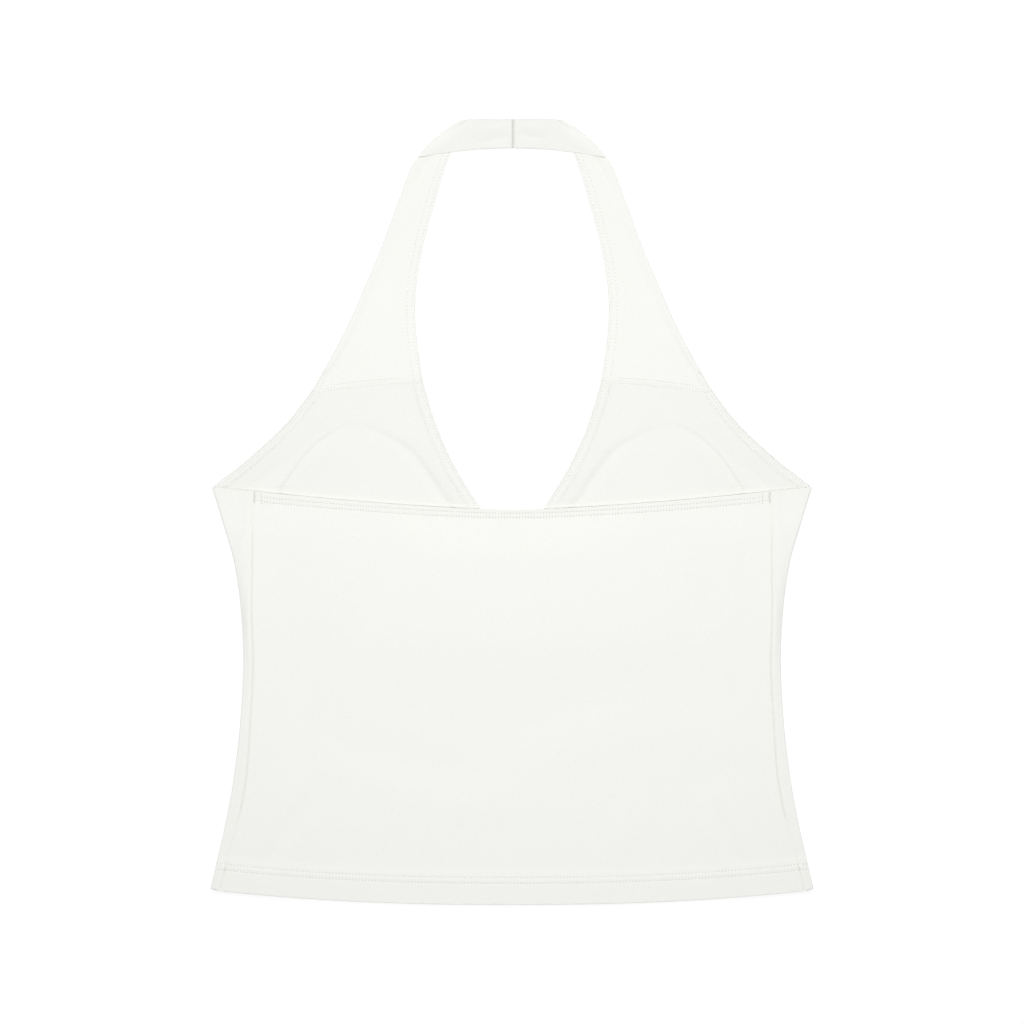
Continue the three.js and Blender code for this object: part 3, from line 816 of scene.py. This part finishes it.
def square_at_seams(points):
    """How round an edge is: square at the seams to other pieces, and round elsewhere."""
    x, y, z = points.T
    from_strap = np.abs(y - strap_seam_y(x))
    from_underbust = np.maximum(np.abs(y - UNDERBUST_Y) - CROSS_SEAM.rise, 0)
    beside_seam = (z > CLOTH + GAP) & (y < SIDE_TOP + 3)
    from_side = np.where(beside_seam, np.abs(np.abs(x) - side_seam(y)), np.inf)
    return rounded(np.minimum(np.minimum(from_strap, from_underbust), from_side))


def bust_lining(material):
    half = side_fold(WRAPPED_Y)
    ends = half - fold_radius(half, WRAPPED_Y, CLOTH) - GAP
    _, _, width = bust_grid(np.array([[0.0, 1.0]]), LINING_INSET, ends)
    arm_slant = np.hypot(1, slope(armhole, ARM_Y))[:, None]
    neck_slant = np.minimum(np.hypot(1, slope(neckline, NECK_Y)), STEEPEST)[:, None]
    arm_part = FROM_ARM * arm_slant / width
    neck_part = 1 - FROM_NECK[::-1] * neck_slant / width
    between = mix(arm_part[:, -1:], neck_part[:, :1], LINING_BETWEEN)
    x, y, _ = bust_grid(np.concatenate([arm_part, between, neck_part], 1), LINING_INSET, ends)
    patches = []
    for side in SIDES:
        top, under = lining_top_face(side * x, y), LINING_UNDER
        patches.append(facing_out(grid_xyz(side * x, y, top), grid_xyz(side * x, y, under), side > 0))

    def rounding(points):
        return rounded(np.abs(points[:, 1] - strap_seam_y(points[:, 0])))

    return cloth("bust_lining_cloth", patches, material, rounding)


# Straps

STRAP_ROUND = 1.6
STRAP_AT_FOLD = (0.8, 1.0)
STRAP_AT_BUST = (0.0, 0.16)
BAND_BOW_FADE = (0.0, 0.3)
BAND_TILT_FADE = (0.0, 0.2)
STRAP_ALONG = merged([0, *np.arange(0.004, 0.05, 0.004), *np.linspace(0.05, 1, 78)], 0.003)
BAND_ALONG = [*np.linspace(0, 0.9, 28), *np.linspace(0.9, 0.975, 8), *np.linspace(0.975, 1, 15)]
BAND_ALONG = merged(BAND_ALONG, 0.001)
STRAP_OUTER_PART = merged([0, 0.5, 1.1, *near_rows(ARM_ROWS, 0.8)])[None, :]
STRAP_INNER_PART = merged([0, 0.6, *near_rows(NECK_ROWS), 7.6])[::-1][None, :]
STRAP_BETWEEN = np.linspace(0, 1, 14)[None, 1:-1]


def strap_shares(width):
    """Shares of a section's width, close together at its edges and stitch rows."""
    low, high = STRAP_OUTER_PART / width, 1 - STRAP_INNER_PART / width
    return np.concatenate([low, mix(low[:, -1:], high[:, :1], STRAP_BETWEEN), high], 1)


def strap_sections(table, share):
    """Places across sections of a strap or band, at shares of its length, and the sections' widths."""
    at = share * (len(table["row"]) - 1)
    outer, inner = (
        np.stack([curve(table, f"{edge}_{axis}", at, "row") for axis in "xy"], -1)
        for edge in ("outer", "inner")
    )
    width = np.linalg.norm(inner - outer, axis=1)[:, None]
    t = strap_shares(width)
    return mix(outer[:, None, :], inner[:, None, :], t[..., None]), t, width


def bulged(places, t, share):
    """Places across a strap or band, moved outwards where the neck fold bows."""
    return np.moveaxis(places + FACING * (FOLD_BOW * bowed(t) * share[:, None])[..., None], -1, 0)


def strap_thickness(y):
    """A strap is two layers of cloth. It is thickest at its seam to the bust."""
    return mix(STRAP_AT_SEAM, STRAP_THICKNESS, smooth(*STRAP_FACE.thins, y))


def strap_top_face(side, x, y, from_inner, from_outer):
    """The upper face of a strap where it lies on the surface."""
    fades = 1 - smooth(*STRAP_FACE.relief_ends, y)
    above_arm = smooth(*ARM_ROWS_FADE, y)
    soft = soft_relief(
        STRAP_CREASES, side * x, y, RIPPLE.strap,
        neckline=from_inner, strap_outer=from_outer, strap_seam=np.abs(y - strap_seam_y(x)),
    )
    at_bust, at_neck = (sewn_edge(edge, NECK_ROWS, from_inner) for edge in (NECK_EDGE, STRAP_NECK_EDGE))
    neck_edge = mix(at_bust, at_neck, smooth(*STRAP_FACE.neck_edge, y))
    rolled = mix(*STRAP_FACE.roll, smooth(*STRAP_FACE.roll_eases, y))
    rolled = rolled * (1 - smooth(0, STRAP_FACE.roll_width, from_outer))
    rolled = rolled - STRAP_FACE.edge_lower * bump(from_outer, STRAP_FACE.edge_half_width)
    return (
        strap_thickness(y)
        + neck_edge * fades
        + sewn_edge(ARM_EDGE, ARM_ROWS, from_outer) * (1 - above_arm)
        + rolled * above_arm
        + soft * fades
    )


def strap_lower(side, share):
    """The strap's upper face up to the fold, and distances from its inner and outer edges."""
    places, t, width = strap_sections(STRAP, share)
    at_fold = smooth(*STRAP_AT_FOLD, share)
    x, y = bulged(places, t, at_fold)
    y = y + STRAP_SEAM_BOW * bowed(t) * (1 - smooth(*STRAP_AT_BUST, share))[:, None]
    from_inner, from_outer = (1 - t) * width, t * width
    top = mix(strap_top_face(side, x, y, from_inner, from_outer), STRAP_THICKNESS, at_fold[:, None])
    return x, y, top, from_inner, from_outer


def strap_fold(side):
    """The neck fold's outside and inside, between the strap and the band."""
    radius = NECK_HEIGHT / 2
    t = strap_shares(np.linalg.norm(FOLD_INNER - FOLD_OUTER))[0]
    edge = mix(FOLD_OUTER, FOLD_INNER, t[:, None])
    angle = (math.pi * np.arange(1, FOLD_STEPS) / FOLD_STEPS)[:, None]
    grids = []
    for r in (radius, radius - STRAP_THICKNESS):
        out = FOLD_BOW * bowed(t) + FOLD_REACH * (r * np.sin(angle) - radius)
        places = edge + FACING * out[..., None]
        grids.append(grid_xyz(side * places[..., 0], places[..., 1], radius - r * np.cos(angle)))
    return grids


def neck_band(side):
    """Half of the neck band, from the fold to the middle seam. The left half stands up beside that seam."""
    places, t, _ = strap_sections(BAND, BAND_ALONG)
    x, y = bulged(places, t, 1 - smooth(*BAND_BOW_FADE, BAND_ALONG))
    strap_edge = np.array([STRAP["inner_x"][5], STRAP["inner_y"][5]])
    along = unit(FOLD_INNER - strap_edge)
    past_strap = along[0] * (y - strap_edge[1]) - along[1] * (x - strap_edge[0])
    under = (NECK_HEIGHT - STRAP_THICKNESS) * (1 - smooth(*BAND_DROP, past_strap))
    under = under + BAND_TILT * (y - BAND_LOW_Y) * smooth(*BAND_TILT_FADE, BAND_ALONG)[:, None]
    soft = creases(BAND_CREASES, side * x, y)
    if side < 0:
        under = under + NECK_SEAM.lap * bump(x, NECK_SEAM.lap_width)
    else:
        waving = x + sum(height * np.sin(rate * y) for height, rate in NECK_SEAM.waves)
        soft = soft - NECK_SEAM.valley * (1 - smooth(*NECK_SEAM.valley_end, waving))
    return grid_xyz(side * x, y, under + STRAP_THICKNESS + soft), grid_xyz(side * x, y, under)


def strap(name, side, material):
    """A strap from the bust over the neck fold to the middle of the neck band, as one run of cloth."""
    x, y, top, *_ = strap_lower(side, STRAP_ALONG)
    lower = grid_xyz(side * x, y, 0), grid_xyz(side * x, y, top)
    outer, inner = (np.concatenate(grids) for grids in zip(lower, strap_fold(side), neck_band(side)))

    def rounding(points):
        off_seam = smooth(*NECK_SEAM.round_fade, np.abs(points[:, 0]))
        return square_at_seams(points) * mix(NECK_SEAM.square, 1, off_seam) * STRAP_ROUND

    return cloth(name, [facing_out(outer, inner, side < 0)], material, rounding)


# Sewing

def template(steps_along, steps_round):
    """A small closed bead: points on a unit ball, and its faces."""
    angle = math.pi * np.arange(1, steps_along)[:, None] / steps_along
    turn = 2 * math.pi * np.arange(steps_round) / steps_round
    rings = grid_xyz(-np.cos(angle), np.sin(angle) * np.cos(turn), np.sin(angle) * np.sin(turn))
    points = np.concatenate([[(-1, 0, 0)], rings.reshape(-1, 3), [(1, 0, 0)]])
    last = len(points) - 1
    faces = []
    for j in range(steps_round):
        k = (j + 1) % steps_round
        faces.append((0, 1 + k, 1 + j))
        for a in range(1, last - steps_round, steps_round):
            b = a + steps_round
            faces += [(a + j, a + k, b + k), (a + j, b + k, b + j)]
        end = last - steps_round
        faces.append((end + j, end + k, last))
    return points, np.array(faces)


BEAD_POINTS, BEAD_FACES = template(4, 6)


def beads(name, centres, alongs, ups, sizes, material):
    """Many small closed beads, as one piece."""
    axes = np.stack([alongs, np.cross(ups, alongs), ups], 1)
    points = centres[:, None, :] + (BEAD_POINTS[None] * sizes[:, None, :]) @ axes
    offsets = (np.arange(len(centres)) * len(BEAD_POINTS))[:, None, None]
    faces = (BEAD_FACES[None] + offsets).reshape(-1, 3)
    return mesh_piece(name, points.reshape(-1, 3), faces, material)


def along_run(run, pitch, start):
    """Points at a pitch along a route in space, with the route's direction at each."""
    steps = np.linalg.norm(np.diff(run, axis=0), axis=1)
    travelled = np.concatenate([[0], np.cumsum(steps)])
    places = np.arange(start, travelled[-1], pitch)
    behind, points, ahead = (
        np.stack([np.interp(places + shift, travelled, run[:, k]) for k in range(3)], -1)
        for shift in (-0.2, 0, 0.2)
    )
    return points, unit(ahead - behind)


def sewing(name, runs, thread, shade, up=1.0, hole=1.0, pitch=PITCH):
    """Rows of stitches along routes that lie on the cloth, and between each two a dark bead painted as the
    shade inside a needle hole.
    """
    pieces = []
    kinds = (
        ("thread", thread, 0.5, (STITCH.length / 2, STITCH.half_width, STITCH.height)),
        # A needle hole is a small dark bead: painted shade.
        ("hole_painted_shades", shade, 0.0, (hole * HOLE.half_length, hole * HOLE.half_width, HOLE.height)),
    )
    pitches = np.broadcast_to(pitch, len(runs))
    for kind, material, start, size in kinds:
        found = [along_run(run, step, start * step) for run, step in zip(runs, pitches)]
        centres = np.concatenate([points for points, _ in found])
        alongs = np.concatenate([along for _, along in found])
        ups = np.tile([0.0, 0.0, up], (len(centres), 1))
        ups = unit(ups - alongs * (ups * alongs).sum(1)[:, None])
        centres = centres + np.cross(ups, alongs) * RNG.normal(0, STITCH.wander, (len(centres), 1))
        sizes = np.array(size)[None, :] * RNG.uniform(*STITCH.sizes, (len(centres), 1))
        pieces.append(beads(f"{name}_{kind}", centres, alongs, ups, sizes, material))
    return pieces


# The routes of the sewing. Each ends a little short of a seam, a fold or another row.
ON_FACE = 0.06
ON_STRAP = 0.03
ON_TACK = 0.1
OFF_FLOOR = 0.02
HEM_SEAM, HEM_FOLD = side_seam(HEM_ROWS_Y), side_fold(HEM_ROWS_Y)
HEM_END = Sizes(back=HEM_SEAM - 1.5, strip_start=HEM_SEAM + 1.0, strip=HEM_FOLD - 2.6, front=HEM_FOLD - 3.0)
TACK = Sizes(rows=16, down=(0.8, 8.2), inside=0.7, half_width=0.45)
ROW_STEPS = 200


def on_face(x, y, face, lift=ON_FACE):
    return grid_xyz(x, y, face(x, y) + lift)


def sunk_face(x, y):
    """Where the front's hem is sewn, just clear of the surface."""
    return STITCH.height + OFF_FLOOR - ON_FACE


def hem_runs(start, end, face, steps=2 * ROW_STEPS):
    x = np.linspace(start, end, steps)
    return [on_face(x, hem_line(x) + row, face) for row in HEM_ROWS]


def back_edge_runs():
    """The two rows below the back's top edge, and a short row down at each end of them."""
    x = np.linspace(-BACK_ROWS_END, BACK_ROWS_END, 2 * ROW_STEPS)
    runs = [on_face(x, back_top(x) - row - back_row_shift(x), back_top_face) for row in BACK_ROWS]
    down = np.linspace(BACK_ROWS[0] - 0.8, BACK_ROWS[1] + 2.4, 12)
    for side in SIDES:
        x = np.full(len(down), side * BACK_ROWS_END)
        runs.append(on_face(x, back_top(x) - down, back_top_face))
    return runs


def tacks():
    """Bar tacks: close zigzags where the back's top edge meets the side seams."""
    down = np.linspace(*TACK.down, TACK.rows)
    zigzag = side_seam(SIDE_TOP) - TACK.inside + TACK.half_width * (-1.0) ** np.arange(TACK.rows)
    return [on_face(side * zigzag, back_top(zigzag) - down, back_top_face, ON_TACK) for side in SIDES]


def offset_edge(y, half, distance, outwards):
    """A route at a distance from an edge of the bust, on the side towards the cloth."""
    edge_slope = slope(half, y, 0.25)
    scale = np.hypot(1, edge_slope)
    return half(y) - outwards * distance / scale, y + outwards * distance * edge_slope / scale


def lining_runs():
    """Rows along the lining's neckline and armhole on each side, and one below the strap seam."""
    edges = (
        (neckline, -1, NECK_ROWS, -1.5, BUST_TOP.inner - 0.4),
        (armhole, 1, ARM_ROWS, UNDERARM_Y + 2.2, BUST_TOP.outer - 0.4),
    )
    runs = []
    for side in SIDES:
        for half, outwards, rows, low, high in edges:
            for row in rows:
                x, y = offset_edge(np.linspace(low, high, ROW_STEPS), half, row + LINING_INSET, outwards)
                runs.append(on_face(side * x, y, lining_top_face))
        x = np.linspace(STRAP["inner_x"][0] + 3, STRAP["outer_x"][0] - 3, 120)
        runs.append(on_face(side * x, strap_seam_y(x) - STRAP_SEAM_ROWS, lining_top_face))
    return runs


def strap_runs(side):
    """Stitch rows on one strap: along its neckline, up from the armhole, and above the bust seam."""
    x, y, top, from_inner, from_outer = strap_lower(side, np.linspace(0.004, 0.93, 260))

    def row_at(distance, measured):
        column = np.argmin(np.abs(measured.mean(0) - distance))
        return grid_xyz(side * x[:, column], y[:, column], top[:, column] + ON_STRAP)

    runs = [row_at(row, from_inner) for row in NECK_ROWS]
    for row in ARM_ROWS:
        run = row_at(row, from_outer)
        runs.append(run[run[:, 1] < ARM_ROWS_END])
    seam_x = np.linspace(STRAP["inner_x"][0] + 3, STRAP["outer_x"][0] - 5, 120)
    seam_y = strap_seam_y(seam_x) + STRAP_SEAM_ROWS
    inland = np.full(len(seam_x), 20.0)
    z = strap_top_face(side, seam_x, seam_y, inland, inland) + ON_FACE
    return [*runs, grid_xyz(side * seam_x, seam_y, z)]


def neck_seam_line(name, material, place, pitch, half_width, low):
    """A close, slightly uneven line of beads up the neck seam, on the band's tilt."""
    half_length, height = 0.5, 0.16
    y = np.arange(BAND_LOW_Y + half_length, HALF_LENGTH - half_length, pitch)
    x = place + 0.12 * np.sin(1.7 * y) + RNG.normal(0, 0.06, len(y))
    z = STRAP_THICKNESS + BAND_TILT * (y - BAND_LOW_Y) - low
    along = np.tile(unit(np.array([0.0, 1.0, BAND_TILT])), (len(y), 1))
    up = np.tile(unit(np.array([0.0, -BAND_TILT, 1.0])), (len(y), 1))
    sizes = np.array([half_length, half_width, height])[None, :] * RNG.uniform(0.85, 1.15, (len(y), 1))
    return beads(name, grid_xyz(x, y, z), along, up, sizes, material)


def neck_seam_lines(thread, shade):
    """Dark beads painted as the seam's shade between the two bands, and beside them raised thread-coloured
    beads on the left band's turned edge, whose lighter colour is a painted highlight.
    """
    return [
        # Painted shade: a close line of dark beads in the valley of the neck seam.
        neck_seam_line("neck_seam_painted_shade", shade, place=0.55, pitch=0.5, half_width=0.6, low=0.8),
        # A raised line of beads on the left band's turned edge; their lighter thread colour is a painted
        # highlight.
        neck_seam_line("neck_seam_turned_edge_painted_highlight", thread, place=-0.75, pitch=0.7, half_width=0.32, low=-0.4),
    ]


# Materials

FLECKS_PER_METRE = 60.0
WALE = 0.00072
COURSE = 0.00052


def shaded(name, **inputs):
    """A new material and its shader, with the inputs set. An underscore stands for a space."""
    material = bpy.data.materials.new(name)
    material.use_nodes = True
    shader = material.node_tree.nodes["Principled BSDF"]
    set_inputs(shader, **inputs)
    return material, shader


def set_inputs(node, **inputs):
    """Give each input its value, or link it where another node's output is given."""
    for key, value in inputs.items():
        socket = node.inputs[key.replace("_", " ")]
        if isinstance(value, bpy.types.NodeSocket):
            node.id_data.links.new(value, socket)
        else:
            socket.default_value = value


def add_node(material, kind, **inputs):
    node = material.node_tree.nodes.new(f"ShaderNode{kind}")
    set_inputs(node, **inputs)
    return node


def blend(material, factor, places, colours):
    """A blend from one colour to another, as the factor goes from one place to the other."""
    node = add_node(material, "ValToRGB", Fac=factor)
    for element, place, colour in zip(node.color_ramp.elements, places, colours):
        element.position = place
        element.color = (*colour, 1)
    return node.outputs["Color"]


def calculated(material, operation, first, second):
    node = add_node(material, "Math")
    node.operation = operation
    node.id_data.links.new(first, node.inputs[0])
    node.id_data.links.new(second, node.inputs[1])
    return node.outputs["Value"]


def ridges(material, place, direction, spacing, **inputs):
    """The fine ridges of a knit, a spacing in metres apart."""
    wave = add_node(material, "TexWave", Vector=place, Scale=2 * math.pi / 20 / spacing, **inputs)
    wave.bands_direction = direction
    return wave.outputs["Fac"]


def knit(name, colour, bump_height, sheen):
    """Fine cotton jersey: faint uneven colour, sparse flecks, small wales and courses, and a soft nap."""
    material, shader = shaded(
        name, Roughness=0.88, Specular_IOR_Level=0.22, Sheen_Weight=sheen, Sheen_Roughness=0.5,
    )
    place = add_node(material, "TexCoord").outputs["Object"]

    mottle = add_node(material, "TexNoise", Vector=place, Scale=900, Detail=3).outputs["Fac"]
    darker, lighter = ([c * share for c in colour] for share in (0.982, 1.012))
    uneven = blend(material, mottle, (0.3, 0.7), (darker, lighter))
    flecks = add_node(material, "TexVoronoi")
    flecks.voronoi_dimensions = "2D"
    set_inputs(flecks, Vector=place, Scale=FLECKS_PER_METRE)
    specks = blend(material, flecks.outputs["Distance"], (0.016, 0.036), ((0.95, 0.948, 0.94), (1, 1, 1)))
    coloured = add_node(material, "Mix")
    coloured.data_type = "RGBA"
    coloured.blend_type = "MULTIPLY"
    set_inputs(coloured, Factor=1, A=uneven, B=specks)

    wales = ridges(material, place, "X", WALE, Distortion=1.2, Detail=1)
    courses = ridges(material, place, "Y", COURSE, Distortion=1.0)
    nap = add_node(material, "TexNoise", Vector=place, Scale=2600, Detail=2).outputs["Fac"]
    surface = calculated(material, "ADD", calculated(material, "MULTIPLY", wales, courses), nap)
    relief = add_node(material, "Bump", Strength=0.35, Distance=bump_height, Height=surface)
    set_inputs(shader, Base_Color=coloured.outputs["Result"], Normal=relief.outputs["Normal"])
    return material


def thread_and_shade_material(name, colour, roughness):
    """Spun thread, and the dark colours painted as the shade inside needle holes and in the neck seam."""
    material, shader = shaded(name, Roughness=roughness, Specular_IOR_Level=0.2)
    place = add_node(material, "TexCoord").outputs["Object"]
    noise = add_node(material, "TexNoise", Vector=place, Scale=1500).outputs["Fac"]
    darker = [c * 0.95 for c in colour]
    set_inputs(shader, Base_Color=blend(material, noise, (0, 1), (darker, colour)))
    return material


def floor_material():
    """A plain floor with a glow of its own, so that it stays nearly white."""
    white = (1, 1, 1, 1)
    material, _ = shaded(
        "studio_floor", Base_Color=(0.2, 0.2, 0.2, 1), Roughness=0.9, Specular_IOR_Level=0.1,
        Emission_Color=white, Emission_Strength=0.81,
    )
    return material


# Stage, light and camera, in metres

VIEW_WIDTH = 0.6984
LENS = 300.0
SENSOR = 36.0


def add_camera():
    camera = bpy.data.objects.new("camera", bpy.data.cameras.new("camera"))
    camera.data.lens = LENS
    camera.data.sensor_width = SENSOR
    camera.location = (0, 0, VIEW_WIDTH * LENS / SENSOR)
    camera.rotation_euler = (0, 0, 0)
    bpy.context.scene.collection.objects.link(camera)
    bpy.context.scene.camera = camera


def add_floor():
    half = 4.0
    below = -0.0001
    mesh = bpy.data.meshes.new("floor")
    corners = [(-half, -half, below), (half, -half, below), (half, half, below), (-half, half, below)]
    mesh.from_pydata(corners, [], [(0, 1, 2, 3)])
    mesh.materials.append(floor_material())
    floor = bpy.data.objects.new("floor", mesh)
    bpy.context.scene.collection.objects.link(floor)


def add_light(name, place, size, watts):
    """A square soft light that faces the middle of the garment and isn't seen itself."""
    light = bpy.data.lights.new(name, "AREA")
    light.shape = "SQUARE"
    light.size = size
    light.energy = watts
    lamp = bpy.data.objects.new(name, light)
    lamp.location = place
    lamp.rotation_euler = (-math.atan2(place[1], place[2]), 0, 0)
    lamp.visible_camera = False
    bpy.context.scene.collection.objects.link(lamp)


def add_lighting():
    add_light("neck_side_light", place=(0, 1.6, 2.4), size=1.4, watts=34.8)
    add_light("overhead_light", place=(0, 0.0, 1.0), size=0.4, watts=3.7)
    world = bpy.data.worlds.new("soft_studio")
    world.use_nodes = True
    set_inputs(world.node_tree.nodes["Background"], Color=(1, 1, 1, 1), Strength=0.502)
    bpy.context.scene.world = world
    bpy.context.scene.view_settings.view_transform = "Standard"


add_camera()
add_floor()
add_lighting()

jersey = knit("jersey", (0.80, 0.806, 0.770), bump_height=0.00012, sheen=0.4)
# The lining's jersey is the jersey made a little darker: painted shade that tones down the light on the
# lining and its cups.
inner_jersey_painted_shade = knit("lining_jersey_painted_shade", (0.782, 0.7875, 0.7525), bump_height=0.00012, sheen=0.4)
thread = thread_and_shade_material("thread", (0.9, 0.91, 0.88), roughness=0.6)
# Painted shade: the dark colour of the beads in the needle holes.
shade = thread_and_shade_material("needle_hole_painted_shade", (0.6, 0.605, 0.58), roughness=0.95)
# Painted shade: the dark colour of the beads along the neck seam.
painted_seam_shade = thread_and_shade_material("seam_shade_paint", (0.69, 0.695, 0.67), roughness=0.95)

back = back_panel(jersey)
front = lower_front(jersey)
shell = front_bust(jersey)
lining = bust_lining(inner_jersey_painted_shade)
straps = {side: strap(f"strap_{name}_cloth", side, jersey) for side, name in ((-1, "left"), (1, "right"))}

strap_pitches = [STRAP_NECK_PITCH] * len(NECK_ROWS) + [PITCH] * (len(ARM_ROWS) + 1)
back_hem, front_hem = (
    hem_runs(-end, end, face) for end, face in ((HEM_END.back, back_top_face), (HEM_END.front, sunk_face))
)
strip_hem = [
    run for side in SIDES
    for run in hem_runs(side * HEM_END.strip_start, side * HEM_END.strip, strip_top_face, 20)
]
sewn = {
    back: sewing("back_hem_sewing", back_hem, thread, shade, pitch=HEM_PITCH)
    + sewing("back_edge_sewing", back_edge_runs() + tacks(), thread, shade, hole=1.25),
    front: sewing("front_strip_sewing", strip_hem, thread, shade, pitch=HEM_PITCH)
    + sewing("front_hem_sewing", front_hem, thread, shade, up=-1.0, pitch=HEM_PITCH),
    lining: sewing("lining_sewing", lining_runs(), thread, shade, hole=0.8),
    straps[-1]: sewing("strap_left_sewing", strap_runs(-1), thread, shade, hole=0.9, pitch=strap_pitches),
    straps[1]: sewing("strap_right_sewing", strap_runs(1), thread, shade, hole=0.9, pitch=strap_pitches)
    + neck_seam_lines(thread, painted_seam_shade),
}

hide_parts("back_body")
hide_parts("front_body")
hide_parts("front_bust")
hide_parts("bust_lining")
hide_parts("strap_left")
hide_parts("strap_right")

for piece in (back, front, shell, lining, *straps.values()):
    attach(piece, "root")
for piece, sewn_on in sewn.items():
    for stitches in sewn_on:
        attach(stitches, "root")
